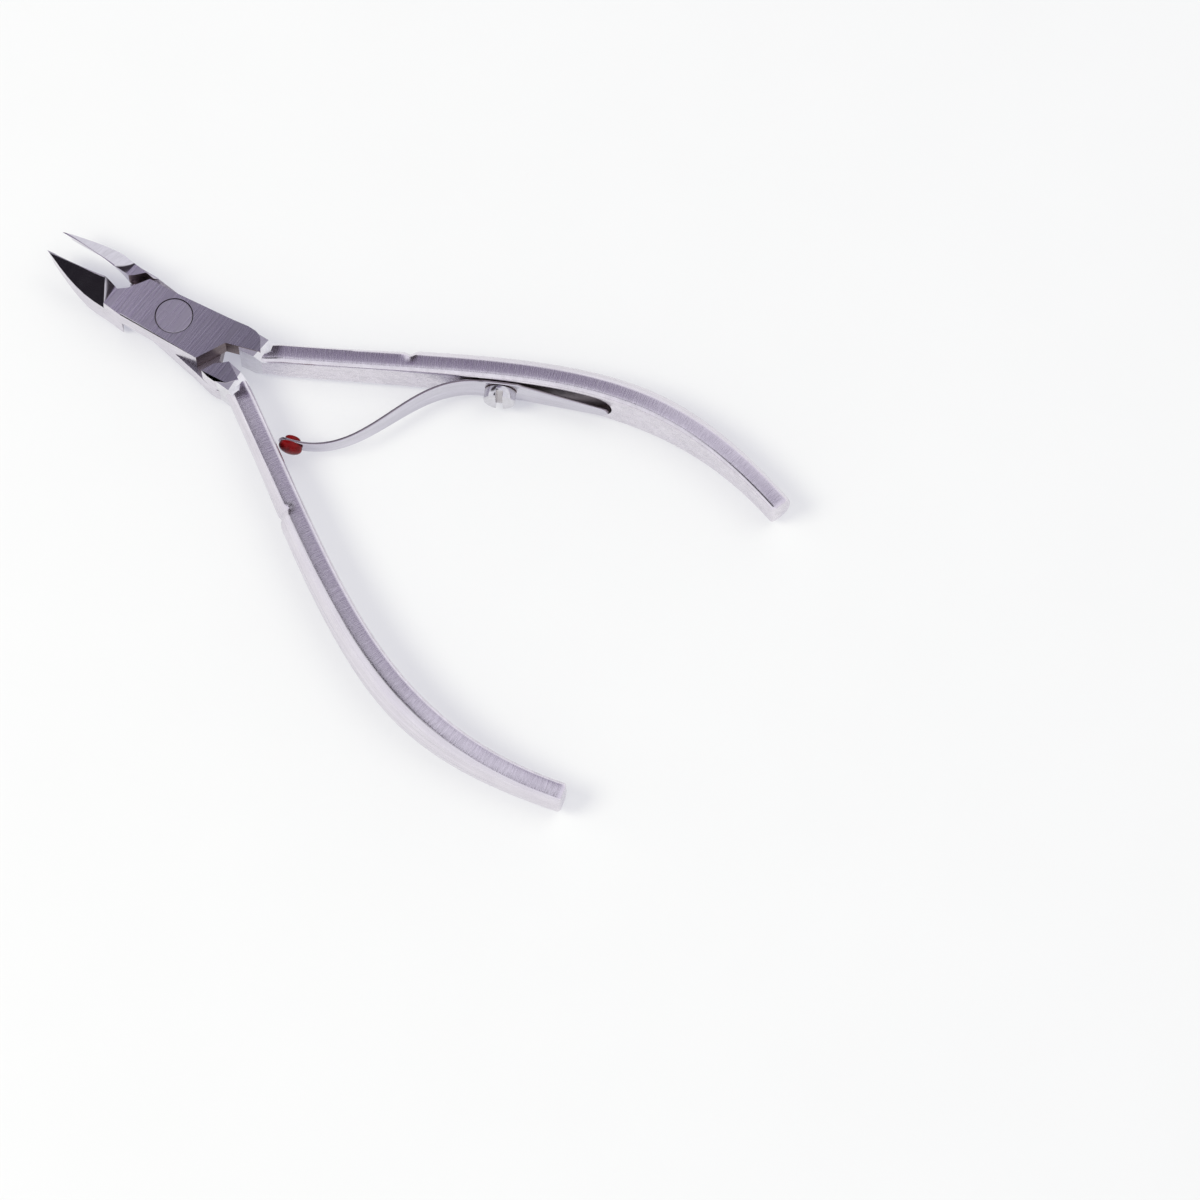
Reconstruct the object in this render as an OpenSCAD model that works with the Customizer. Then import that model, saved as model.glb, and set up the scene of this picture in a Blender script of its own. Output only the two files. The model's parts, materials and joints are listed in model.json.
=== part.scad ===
// Half-lap nippers with two handles, a riveted pivot and one swivelling leaf spring.
// +X runs from the pivot towards the handle ends, +Y towards the spring's handle, +Z up.
// The origin is where the pivot axis meets the joint's underside.
// Each half is drawn with the jaws closed, then turned out to the sprung-open rest pose.

/* [Pose] */
// Angle that each half is turned out from closed, in degrees
open_half = 4.75; // [4.75:0.01:4.76]

/* [Joint] */
// Thickness of the joint, both laps together
joint_t = 6.6; // [6.2:0.1:7]
// Gap between the two laps' sliding faces
lap_gap = 0.05; // [0.03:0.01:0.1]
// Diameter of the rivet's two flush ends
rivet_end_d = 5.9; // [5:0.1:6.2]
// Diameter of the rivet's shank
rivet_shank_d = 4.2; // [3.5:0.1:4.6]
// Depth of each of the rivet's wide ends
rivet_end_h = 1.6; // [1.2:0.1:2]
// Radial clearance of the rivet in the half that turns on it
rivet_clear = 0.05; // [0.02:0.01:0.1]

/* [Jaws] */
// Distance from the pivot to the jaw tips
tip_x = 24.2; // [23.5:0.1:25]
// Distance from the pivot to the rear end of the cutting edges
edge_x = 13.5; // [13:0.1:14]
// Sideways lean of the cutting line at its rear end
edge_skew = 0.6; // [0.2:0.05:0.7]
// Height of the cutting edge at its rear end
edge_z = 5.8; // [5.5:0.1:6]
// Height of the cutting edge at the tip
tip_z = 5.1; // [4.8:0.1:5.4]
// Width of the ground hollow at its fullest
hollow_width = 2.45; // [2.2:0.05:2.5]
// Height that the underside rises to at the tip
tip_rise = 3.3; // [2:0.1:3.6]

/* [Handles] */
// Half height of a handle at the joint
handle_h0 = 3.1; // [2.8:0.1:3.3]
// Half height of a handle at its fullest
handle_h1 = 4.15; // [3.6:0.05:4.4]
// Half height of a handle at its end
handle_h2 = 2.8; // [2.4:0.1:3.2]
// Thickness of a handle at the joint
handle_t0 = 3.9; // [3.6:0.1:4.2]
// Thickness of a handle at its fullest
handle_t1 = 5.1; // [4.6:0.1:5.4]
// Thickness of a handle at its end
handle_t2 = 3.9; // [3.4:0.1:4.2]
// Radius of the rounded inner edges
edge_r = 0.6; // [0.4:0.05:0.8]
// Width of the flat band, measured out from the inner face
band_w = 2.9; // [2.4:0.1:3.1]

/* [Spring] */
// Thickness of the leaf
leaf_t = 0.5; // [0.4:0.05:0.6]
// Width of the leaf at its eye
leaf_w = 5.4; // [5:0.1:5.6]
// Width of the leaf at the button
leaf_tip_w = 2.6; // [2.4:0.1:3]
// Width of the tail's end
tail_tip_w = 2; // [1.8:0.1:2.6]
// Length of the tail beyond the screw
tail_l = 17.4; // [15:0.1:17.6]
// Depth of the pocket's floor under the screw
pocket_depth = 0.15; // [0.1:0.05:0.3]
// Diameter of the screw's head
screw_head_d = 5.1; // [4.6:0.1:5.4]
// Height of the screw's head
screw_head_h = 2; // [1.6:0.1:2.2]
// Width of the driver slot
screw_slot_w = 1.1; // [0.8:0.1:1.3]
// Diameter of the button's domed head
button_d = 3.8; // [3.4:0.1:4]
// Thickness of the button's domed head
button_h = 1.3; // [1.1:0.1:1.4]
// Diameter of the button's rear rim
button_rear_d = 2.6; // [2.2:0.1:2.8]

/* [Hidden] */
$fn = 64;

mid_z = joint_t / 2;
lap_z = mid_z + lap_gap / 2;
// Gap between sliding or clamped flat faces
seat_gap = 0.1;
// Distance by which cutting shapes run past the faces they cut
over = 2;

// Corners of the lap and the blocks, seen from above with the jaws closed
lap_front_out = [-6.76, 3.52];
lap_front_in = [-8.95, 0.45];
throat = [-10.35, -0.6];
jaw_back_in = [-9.75, -1.1];
jaw_back_out = [-7.45, -4.2];
shoulder_out = [-10.9, -3.75];
bevel_out = [-12, -3.3];
bevel_out_z = 3.4;
notch_in = [9.56, 0.16];
notch_out = [6.93, -4.44];
lap_side = [[-7.64, -4.24], [-10.8, -3.82]];
lap_back = [[15.18, 1.67], [14.1, 3.4], [13.7, 3.86], [13.2, 4.18], [12.5, 4.4], [11.15, 4.48],
            [8.06, 4.17], [-2.6, 3.52]];
jaw_side = [[-13, -3.65], [-15, -3.36], [-17, -2.86], [-19, -2.2], [-21, -1.4], [-22.6, -0.7]];
block_front = [[9.69, 4.3], [10.4, 2.14], [11.38, 1.11]];
block_back = [[12, 0.3], [16.05, 0.62], [17.6, 1.4], [16.6, 4.3], [15.2, 4.1], [13.2, 4.18],
              [11.15, 4.48]];
block_drop = 0.2;
// The foot under the lap's rear corner, which joins it to the other layer
foot_back = [[12, 0.3], [15.18, 1.67], [14.1, 3.4], [12.5, 4.4]];

// How far the faces above a jaw run past its own edges, so that they cut it cleanly
bevel_past = 0.4;
shoulder_past = 0.3;
crest_past = 0.9;
crest_rise = 0.02;

// The hollow's centres: one at its fullest, one near the tip, each with its width and height
hollow_x = [-14, -22];
hollow_z = [0.8, 3];
hollow_w = [hollow_width, 0.66];
hollow_h = [4.87, 2.2];
hollow_lean = [0.45, 0.26];
hollow_past = 1.44;
under_x = -14.5;

// The handle's inner face follows one cubic curve
handle_curve = [[16, 0.57], [54.35, 18.83], [69.92, 30.15], [98.5, 19.53]];
handle_steps = 44;
full_at = 0.62;
outer_start = 62;
band_drop = 0.12;
// Where the thinner neck ends, and the small ball that cuts a notch there
neck_at = 0.205;
notch_r = 0.85;
notch_inset = 1.3;
notch_h = 3.35;

// The spring stands on a line that touches the handle's inner face under the screw
spring_at = [50.4, 17];
spring_turn = 23.3;
leaf_y = -seat_gap - leaf_t / 2;
arm_end_y = leaf_y - leaf_t / 4;
eye_l = 2.75;
arm_curve = [[-33.61, -13.36], [-19.1, -17.55], [-16.1, arm_end_y], [-eye_l, arm_end_y]];
arm_steps = 28;
// The leaf is a little narrower on each side of the eye
arm_inset = 0.15;
tail_inset = 0.25;
tail_end_y = -2.15;
button_along = 0.05;
shank_d = 2.4;
shank_l = 3.4;
shank_end = 0.3;
shoulder_d = 3;
screw_slot_h = 1.1;
head_overlap = 0.1;
eye_clear = 0.05;
stem_d = 1.4;
button_rear_h = 0.75;
button_gap = 0.07;
button_edge_h = 0.45;
stem_past = 0.2;
pocket_w = 5.9;
pocket_back = -7;
pocket_front = 17.9;

function mix(a, b, u) = a + (b - a) * u;
function smooth(u) = u * u * (3 - 2 * u);
function swell(t, a, b, c) = t < full_at ? mix(a, b, smooth(t / full_at))
                                         : mix(b, c, smooth((t - full_at) / (1 - full_at)));
function bezier(p, t) = pow(1 - t, 3) * p[0] + 3 * pow(1 - t, 2) * t * p[1]
                        + 3 * (1 - t) * t * t * p[2] + pow(t, 3) * p[3];
function slope(p, t) = 3 * pow(1 - t, 2) * (p[1] - p[0]) + 6 * (1 - t) * t * (p[2] - p[1])
                       + 3 * t * t * (p[3] - p[2]);
function unit(v) = v / norm(v);
function left_of(v) = [-v[1], v[0]];
function reversed(a) = [for (i = [len(a) - 1:-1:0]) a[i]];

// Closes a run of equal cross-sections into one solid
module loft(sections) {
    m = len(sections[0]);
    n = len(sections);
    sides = [for (i = [0:n - 2], j = [0:m - 1], half = [0, 1])
        let (a = i * m + j, b = i * m + (j + 1) % m)
        half == 0 ? [a, b, b + m] : [a, b + m, a + m]];
    ends = [[for (j = [m - 1:-1:0]) j], [for (j = [0:m - 1]) (n - 1) * m + j]];
    polyhedron([for (s = sections, p = s) p], concat(sides, ends), convexity = 6);
}

// Half of a handle's cross-section: [distance out from the inner face, height], inner face first
function handle_edge(t) =
    let (h = swell(t, handle_h0, handle_h1, handle_h2),
         w = swell(t, handle_t0, handle_t1, handle_t2),
         top = h - band_drop)
    concat(
        [for (a = [180:-22.5:90]) [edge_r + edge_r * cos(a), h - edge_r + edge_r * sin(a)]],
        [for (a = [outer_start:-outer_start / 7:0.1])
            [mix(band_w, w, (cos(a) - cos(outer_start)) / (1 - cos(outer_start))),
             top * sin(a) / sin(outer_start)]],
        [[w, 0]]);

function handle_section(t) =
    let (c = bezier(handle_curve, t),
         out = left_of(unit(slope(handle_curve, t))),
         up = handle_edge(t),
         ring = concat(up, [for (p = reversed(up)) if (p[1] > 0) [p[0], -p[1]]]))
    [for (p = ring) [c[0] + out[0] * p[0], c[1] + out[1] * p[0], mid_z + p[1]]];

module handle() {
    loft([for (i = [0:handle_steps]) handle_section(i / handle_steps)]);
}

// Small notch across the outer edge, above and below, where the thinner neck ends
module neck_notches() {
    out = left_of(unit(slope(handle_curve, neck_at)));
    across = swell(neck_at, handle_t0, handle_t1, handle_t2) - notch_inset;
    at = bezier(handle_curve, neck_at) + out * across;
    for (side = [-1, 1])
        translate([at[0], at[1], mid_z + side * notch_h])
            sphere(r = notch_r, $fn = 24);
}

// Places its children on the spring's line: +X to the handle's end, -Y off the inner face, Z centred
module on_spring_line() {
    translate([spring_at[0], spring_at[1], mid_z])
        rotate([0, 0, spring_turn])
            children();
}

// Round-ended pocket in the inner face, under the spring's eye and tail
module pocket() {
    on_spring_line()
        translate([0, pocket_depth, 0])
            rotate([90, 0, 0])
                linear_extrude(over * 3)
                    for (x = [pocket_back + pocket_w / 2, pocket_front - pocket_w / 2])
                        translate([x, 0]) circle(d = pocket_w);
    on_spring_line()
        translate([pocket_back + pocket_w / 2, pocket_depth - over * 3, -pocket_w / 2])
            cube([pocket_front - pocket_back - pocket_w, over * 3, pocket_w]);
}

// A lap with its handle: the upper lap of the half that carries the spring
module lap_and_handle() {
    translate([0, 0, lap_z])
        linear_extrude(joint_t - lap_z)
            polygon(concat([throat, lap_front_in, lap_front_out], reversed(lap_back),
                           [notch_in, notch_out], lap_side));
    linear_extrude(lap_z + over / 4)
        polygon(concat([lap_back[5]], block_front, foot_back));
    translate([0, 0, block_drop])
        linear_extrude(joint_t - 2 * block_drop)
            polygon(concat(block_front, block_back));
    handle();
}

// Sideways place of the cutting line at x
function line_y(x, skew) = skew * (tip_x + x) / (tip_x - edge_x);

// Ground hollow behind the cutting edge: a ball's cut with a cone that touches it, out past the tip
module hollow(skew) {
    wide = [for (i = [0, 1]) hollow_w[i] + hollow_lean[i] * skew];
    r = [for (i = [0, 1]) (hollow_h[i] * hollow_h[i] / wide[i] + wide[i]) / 2];
    c = [for (i = [0, 1]) [hollow_x[i], line_y(hollow_x[i], skew) + r[i] - wide[i], hollow_z[i]]];
    run = hollow_past * (c[1] - c[0]);
    far_r = r[0] + hollow_past * (r[1] - r[0]);
    lean = asin((r[0] - far_r) / norm(run));
    translate(c[0]) {
        sphere(r = r[0]);
        rotate([0, acos(run[2] / norm(run)), atan2(run[1], run[0])])
            translate([0, 0, r[0] * sin(lean)])
                cylinder(h = norm(run) * pow(cos(lean), 2), r1 = r[0] * cos(lean), r2 = far_r * cos(lean));
    }
}

// The ridge between a jaw's bevel and its shoulder: its end at the cutting edge, and its outer end
function ridge_in(skew) = [-edge_x, skew, edge_z];
ridge_out = concat(bevel_out, [bevel_out_z]);

// Everything above the bevel that faces up and outwards
module above_bevel(skew) {
    tip = [-tip_x, 0, tip_z];
    n = cross(ridge_in(skew) - tip, ridge_out - tip);
    function lift(p) = [p[0], p[1], tip[2] - (n[0] * (p[0] - tip[0]) + n[1] * (p[1] - tip[1])) / n[2]];
    fall = bevel_past * (ridge_out - ridge_in(skew));
    bottom = [lift(ridge_in(skew) - fall), lift(ridge_out + fall),
              lift([-tip_x - over, -4.5]), lift([-tip_x - over, 2.5])];
    loft([bottom, [for (p = bottom) [p[0], p[1], joint_t + over]]]);
}

// Everything above the shoulder that climbs from the bevel's rear edge to the lap's top face
module above_shoulder(skew) {
    fall = shoulder_past * (ridge_out - ridge_in(skew));
    top = joint_t + crest_rise;
    bottom = [ridge_in(skew) - fall, ridge_out + fall,
              [shoulder_out[0] - crest_rise, shoulder_out[1] - crest_past, top],
              [throat[0] + crest_past / 3, throat[1] + crest_past, top]];
    high = [for (p = bottom) [p[0], p[1], joint_t + over]];
    faces = [[1, 2, 0], [2, 3, 0], [6, 5, 4], [7, 6, 4], [4, 5, 1, 0], [5, 6, 2, 1], [6, 7, 3, 2],
             [7, 4, 0, 3]];
    polyhedron(concat(bottom, high), faces);
}

// A jaw: full height, ground hollow below, bevelled above; skew leans its cutting line
module jaw(skew) {
    difference() {
        linear_extrude(joint_t)
            polygon(concat([[-tip_x, 0]], reversed(jaw_side), reversed(lap_side),
                           [jaw_back_out, jaw_back_in, throat, [-edge_x, skew]]));
        hollow(skew);
        above_bevel(skew);
        above_shoulder(skew);
        translate([under_x, -tip_x / 2, 0])
            rotate([0, atan(tip_rise / (tip_x + under_x)), 0])
                translate([-tip_x, 0, -tip_x / 2])
                    cube([tip_x, tip_x, tip_x / 2]);
    }
}

// Bore and counterbore for the rivet, with a radial clearance
module rivet_bore(clear) {
    translate([0, 0, -over])
        cylinder(h = joint_t + 2 * over, d = rivet_shank_d + 2 * clear);
    for (z = [-over, joint_t - rivet_end_h - clear])
        translate([0, 0, z])
            cylinder(h = rivet_end_h + over + clear, d = rivet_end_d + 2 * clear);
}

module pivot_rivet() {
    color("lightsteelblue") {
        cylinder(h = joint_t, d = rivet_shank_d);
        cylinder(h = rivet_end_h, d = rivet_end_d);
        translate([0, 0, joint_t - rivet_end_h])
            cylinder(h = rivet_end_h, d = rivet_end_d);
    }
}

// The upper half with the spring: upper lap, lower-side jaw
module spring_half() {
    color("silver")
        rotate([0, 0, open_half])
            difference() {
                union() {
                    lap_and_handle();
                    jaw(edge_skew);
                }
                rivet_bore(rivet_clear);
                neck_notches();
                pocket();
                on_spring_line()
                    translate([0, pocket_depth + shank_l, 0])
                        rotate([90, 0, 0])
                            cylinder(h = shank_l + over, d = shank_d);
            }
}

// The lower half: the same lap and handle turned over, with the opposite jaw
module plain_half() {
    color("gainsboro")
        rotate([0, 0, -open_half])
            difference() {
                union() {
                    difference() {
                        translate([0, 0, joint_t])
                            rotate([180, 0, 0])
                                lap_and_handle();
                        mirror([0, 1, 0])
                            hollow(-edge_skew);
                    }
                    mirror([0, 1, 0])
                        jaw(-edge_skew);
                }
                rivet_bore(0);
                translate([0, 0, joint_t])
                    rotate([180, 0, 0])
                        neck_notches();
            }
}

// Point on the leaf's arm, and the direction across it
function arm_ring(t, side) =
    let (c = bezier(arm_curve, t), n = left_of(unit(slope(arm_curve, t)))) c + n * side * leaf_t / 2;

// The button's centre on the arm, and the arm's direction there
button_c = bezier(arm_curve, button_along);
button_dir = unit(slope(arm_curve, button_along));

// Leaf: curved arm, flat eye under the screw, straight tail
module leaf_spring() {
    steps = [for (i = [0:arm_steps]) i / arm_steps];
    color("lightgray")
        rotate([0, 0, open_half])
            on_spring_line()
                difference() {
                    intersection() {
                        translate([0, 0, -leaf_w])
                            linear_extrude(2 * leaf_w)
                                polygon(concat(
                                    [for (t = steps) arm_ring(t, 1)],
                                    [[-eye_l, leaf_y + leaf_t / 2], [eye_l, leaf_y + leaf_t / 2],
                                     [tail_l, tail_end_y + leaf_t / 2], [tail_l, tail_end_y - leaf_t / 2],
                                     [eye_l, leaf_y - leaf_t / 2], [-eye_l, leaf_y - leaf_t / 2]],
                                    [for (t = reversed(steps)) arm_ring(t, -1)]));
                        rotate([90, 0, 0])
                            translate([0, 0, -over])
                                linear_extrude(20)
                                    leaf_outline();
                    }
                    rotate([90, 0, 0])
                        translate([0, 0, -over])
                            cylinder(h = 2 * over, d = shoulder_d + 2 * eye_clear);
                    on_button()
                        translate([0, 0, -leaf_t])
                            cylinder(h = 2 * leaf_t, d = stem_d + 2 * eye_clear);
                }
}

// Front view of the leaf: widest at the eye, tapering both ways to rounded ends
module leaf_outline() {
    tip = arm_curve[0][0];
    hull() {
        translate([tip + leaf_tip_w / 2, 0]) circle(d = leaf_tip_w);
        translate([-eye_l - 4, -leaf_w / 2 + arm_inset]) square([4, leaf_w - 2 * arm_inset]);
    }
    translate([-eye_l, -leaf_w / 2]) square([2 * eye_l, leaf_w]);
    hull() {
        translate([eye_l, -leaf_w / 2 + tail_inset]) square([1, leaf_w - 2 * tail_inset]);
        translate([tail_l - tail_tip_w / 2, 0]) circle(d = tail_tip_w);
    }
}

// Places its children at the button's centre, +Z out of the side that presses on the other handle
module on_button() {
    translate([button_c[0], button_c[1], 0])
        rotate([0, 0, atan2(button_dir[1], button_dir[0])])
            rotate([90, 0, 0])
                children();
}

// Button: domed head, stem through the leaf, small rear rim
module tip_button() {
    dome_h = button_h - button_edge_h;
    dome_r = (pow(button_d / 2, 2) + pow(dome_h, 2)) / (2 * dome_h);
    color("firebrick")
        rotate([0, 0, open_half])
            on_spring_line()
                on_button() {
                    translate([0, 0, -leaf_t / 2 - stem_past])
                        cylinder(h = leaf_t + 2 * stem_past, d = stem_d);
                    translate([0, 0, leaf_t / 2 + button_gap])
                        rotate_extrude()
                            intersection() {
                                translate([0, button_h - dome_r]) circle(r = dome_r, $fn = 128);
                                square([button_d / 2, button_h]);
                            }
                    translate([0, 0, -leaf_t / 2 - button_gap - button_rear_h])
                        cylinder(h = button_rear_h, d = button_rear_d);
                }
}

// Slotted shoulder screw that the leaf swivels on
module spring_screw() {
    under_head = -leaf_y + leaf_t / 2 + eye_clear;
    head_top = under_head + screw_head_h;
    color("whitesmoke")
        rotate([0, 0, open_half])
            on_spring_line()
                rotate([90, 0, 0]) {
                    translate([0, 0, -pocket_depth - shank_l + shank_end])
                        cylinder(h = shank_l + under_head, d = shank_d);
                    translate([0, 0, -pocket_depth])
                        cylinder(h = under_head + pocket_depth + head_overlap, d = shoulder_d);
                    difference() {
                        translate([0, 0, under_head])
                            cylinder(h = screw_head_h, d = screw_head_d);
                        translate([-screw_slot_w / 2, -screw_head_d, head_top - screw_slot_h])
                            cube([screw_slot_w, 2 * screw_head_d, over]);
                    }
                }
}

plain_half();
spring_half();
pivot_rivet();
leaf_spring();
spring_screw();
tip_button();
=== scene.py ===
"""Looks of the half-lap nippers: two ground steel halves, a flush rivet, a leaf spring, a screw and a button.

Lengths are in millimetres until a mesh is made, which turns them into metres.
Each half is drawn with the jaws closed, in the same frame as the CAD, and then turned out to the rest pose.
"""

import json
import math

import bmesh
import bpy
from mathutils import Matrix, Vector


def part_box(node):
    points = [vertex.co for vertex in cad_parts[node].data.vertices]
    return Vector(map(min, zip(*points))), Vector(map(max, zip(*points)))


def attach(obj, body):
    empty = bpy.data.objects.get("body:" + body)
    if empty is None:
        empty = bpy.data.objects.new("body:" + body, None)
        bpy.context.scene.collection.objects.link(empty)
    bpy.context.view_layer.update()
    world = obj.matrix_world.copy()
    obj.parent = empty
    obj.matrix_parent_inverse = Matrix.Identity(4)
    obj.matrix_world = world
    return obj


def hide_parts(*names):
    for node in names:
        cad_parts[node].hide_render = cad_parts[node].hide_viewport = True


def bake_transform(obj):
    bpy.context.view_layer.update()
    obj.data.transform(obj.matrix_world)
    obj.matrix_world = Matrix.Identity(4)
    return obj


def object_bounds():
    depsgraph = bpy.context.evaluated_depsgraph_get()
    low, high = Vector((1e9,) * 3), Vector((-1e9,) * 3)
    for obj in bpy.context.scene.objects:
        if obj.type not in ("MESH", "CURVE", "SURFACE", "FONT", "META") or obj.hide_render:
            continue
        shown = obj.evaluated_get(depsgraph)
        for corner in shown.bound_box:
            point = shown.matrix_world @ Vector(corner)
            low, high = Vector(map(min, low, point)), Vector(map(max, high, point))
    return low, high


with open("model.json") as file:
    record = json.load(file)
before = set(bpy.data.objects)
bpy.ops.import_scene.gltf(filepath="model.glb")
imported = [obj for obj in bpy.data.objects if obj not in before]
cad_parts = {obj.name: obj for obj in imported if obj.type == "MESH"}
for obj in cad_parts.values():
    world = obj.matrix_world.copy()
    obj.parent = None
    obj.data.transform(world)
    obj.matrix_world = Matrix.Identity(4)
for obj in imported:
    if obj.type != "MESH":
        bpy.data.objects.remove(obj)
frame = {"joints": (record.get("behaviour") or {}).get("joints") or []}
cad_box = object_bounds()

MM = 0.001
JOINT_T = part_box("pivot_rivet")[1].z / MM
MID_Z = JOINT_T / 2
LAP_Z = MID_Z + 0.025
OPEN_HALF = math.radians(4.75)
CLEAR = 2

# Handles: the inner face follows one cubic curve; half heights and thicknesses at joint, fullest and end
HANDLE_CURVE = [(16, 0.57), (54.35, 18.83), (69.92, 30.15), (98.5, 19.53)]
FULL_AT = 0.62
HALF_HEIGHTS = (3.1, 4.15, 2.8)
THICKNESSES = (3.9, 5.1, 3.9)
EDGE_R = 0.9
BAND_W = 2.9
BAND_DROP = 0.2
CREST = math.radians(62)
END_R = 0.45
HANDLE_RUN = 98
HANDLE_STEPS = 220
ROOT_DIP = 0.55
ROOT_RUN = 2.4

# Groove round the handle, cut into its back, its band and its crest, and a step behind it that fades out
NOTCH_AT = 0.205
GROOVE_W = 0.55
GROOVE_BACK = 0.28
GROOVE_BAND = 0.35
GROOVE_CREST = 0.25
STEP_H = 0.3
STEP_RUN = 1.4
STEP_FADE = 0.3

# Jaws
TIP = Vector((-24.2, 0, 5.1))
EDGE_X = 13.5
EDGE_Z = 5.8
EDGE_SKEW = 0.6
TIP_RISE = 3.3
UNDER_X = -14.5
BEVEL_OUT = Vector((-11.2, -3.5, 4.6))
RIDGE_PAST = 0.4
SHOULDER_ROWS = 14
SHOULDER_OUT = (-10.9, -3.75)
CREST_RISE = 0.02
CREST_PAST = 0.9
CREST_SHIFT = 0.25
THROAT = (-10.35, -0.6)
JAW_SIDE = [(-10.8, -3.82), (-13, -3.65), (-15, -3.36), (-17, -2.86), (-19, -2.2), (-21, -1.4), (-22.6, -0.7)]
JAW_BACK = [(-7.64, -4.24), (-7.45, -4.2), (-9.75, -1.1)]
INSIDE_JAW = [(-9.3, -3.3), (-10.0, -1.3)]
EDGE_FLAT = 0.35
RELIEF_X = (-14, -6)
RELIEF_LOW = (-3.75, 3.4)
RELIEF_HIGH = (-2.8, 6.6)
RELIEF_PAST = 1.5
HOLLOW_X = (-14, -22)
HOLLOW_Z = (0.8, 3)
HOLLOW_W = (2.45, 0.66)
HOLLOW_H = (4.87, 2.2)
HOLLOW_LEAN = (0.45, 0.26)
HOLLOW_PAST = 1.44

# Lap and the block behind it
LAP_FRONT = [(-8.95, 0.45), (-6.76, 3.52)]
LAP_BACK = [(-2.6, 3.52), (8.06, 4.17), (11.15, 4.48), (12.5, 4.4), (13.2, 4.18), (13.7, 3.86), (14.1, 3.4),
            (15.18, 1.67)]
NOTCH = [(9.56, 0.16), (6.93, -4.44)]
BLOCK_FRONT = [(9.69, 4.3), (10.4, 2.14), (11.38, 1.11)]
BLOCK_BACK = [(12, 0.3), (14.6, 0.45), (16.05, 0.62), (17.6, 1.4), (16.6, 4.3), (15.2, 4.1), (13.2, 4.18),
              (11.15, 4.48)]
BLOCK_DROP = 1.15
BLOCK_STEP = 0.12
BLOCK_FALL = 15.5
SPARE = 0.5
LAP_ROUND = 0.07

# Chamfer on the lap's long side edge: width, depth, and where it starts and ends
EDGE_CHAMFER = (0.32, 0.105)
CHAMFER_ENDS = [(NOTCH[1][0] + 1, NOTCH[1][1]), (JAW_SIDE[0][0] - 0.5, JAW_SIDE[0][1] + 0.02)]

# Rivet
RIVET_D = 5.9
RIVET_SEAT = 0.13
RIVET_END_H = 1.6
RIVET_SHANK_R = 2.1
RIVET_PLAY = 0.05
RIVET_SINK = 0.02
RIVET_CHAMFER = 0.07

# Leaf spring, screw and button, on the spring's own line
ARM_CURVE = [(-33.61, -13.36), (-19.1, -17.55), (-16.1, -0.475), (-2.75, -0.475)]
ARM_STEPS = 90
EYE_STEPS = 12
TAIL_STEPS = 40
LEAF_T = 0.5
LEAF_W = 5.4
STRIP_W = 5.1
LEAF_CORNER = 0.12
LEAF_TIP_W = 2.6
TAIL_TIP_W = 2.0
TAIL_END = (17.4, -2.15)
TAPER = (3, 4)
EYE_L = 2.75
EYE_Y = -0.35
POCKET_W = 5.9
POCKET_ENDS = (-7, 17.9)
POCKET_DEPTH = 0.15
SCREW_HEAD_D = 5.1
SCREW_HEAD_H = 2.0
SCREW_SLOT = (1.1, 1.1)
SCREW_PLAY = 0.05
SHANK_R = 1.2
SHANK_L = 3.5
SHOULDER_R = 1.5
BUTTON_AT = 0.05
BUTTON_D = 3.8
BUTTON_H = 1.3
BUTTON_REAR_D = 2.6
BUTTON_REAR_H = 0.75
BUTTON_EDGE = 0.4
BUTTON_ROUND = 0.3
STEM_R = 0.7


# ---- small curve helpers ----

def mix(a, b, u):
    return a + (b - a) * u


def smooth(u):
    u = min(1.0, max(0.0, u))
    return u * u * (3 - 2 * u)


def bezier(p, t):
    s = 1 - t
    return Vector([s ** 3 * p[0][i] + 3 * s * s * t * p[1][i] + 3 * s * t * t * p[2][i] + t ** 3 * p[3][i]
                   for i in (0, 1)])


def tangent(p, t):
    s = 1 - t
    d = [3 * s * s * (p[1][i] - p[0][i]) + 6 * s * t * (p[2][i] - p[1][i]) + 3 * t * t * (p[3][i] - p[2][i])
         for i in (0, 1)]
    return Vector(d).normalized()


def left_of(v):
    return Vector((-v[1], v[0]))


def swell(t, values):
    if t < FULL_AT:
        return mix(values[0], values[1], smooth(t / FULL_AT))
    return mix(values[1], values[2], smooth((t - FULL_AT) / (1 - FULL_AT)))


# ---- mesh helpers ----

def new_object(name, bm, materials):
    """A mesh object from a bmesh drawn in millimetres."""
    bmesh.ops.recalc_face_normals(bm, faces=bm.faces)
    mesh = bpy.data.meshes.new(name)
    bm.to_mesh(mesh)
    bm.free()
    mesh.transform(Matrix.Scale(MM, 4))
    for material in materials:
        mesh.materials.append(material)
    obj = bpy.data.objects.new(name, mesh)
    bpy.context.scene.collection.objects.link(obj)
    return obj


def prism(name, outline, low, high, flat, wall, dark=()):
    """An upright prism with one material on its flat faces and another on its walls.

    The walls whose numbers are in dark get the brown wall steel, partly grime and partly painted shade.
    """
    bm = bmesh.new()
    bottom = [bm.verts.new((x, y, low)) for x, y in outline]
    top = [bm.verts.new((x, y, high)) for x, y in outline]
    bm.faces.new(bottom)
    bm.faces.new(top)
    for i in range(len(outline)):
        k = (i + 1) % len(outline)
        bm.faces.new((bottom[i], bottom[k], top[k], top[i])).material_index = 2 if i in dark else 1
    return new_object(name, bm, [flat, wall, GRIME_AND_SHADE_WALL])


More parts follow.
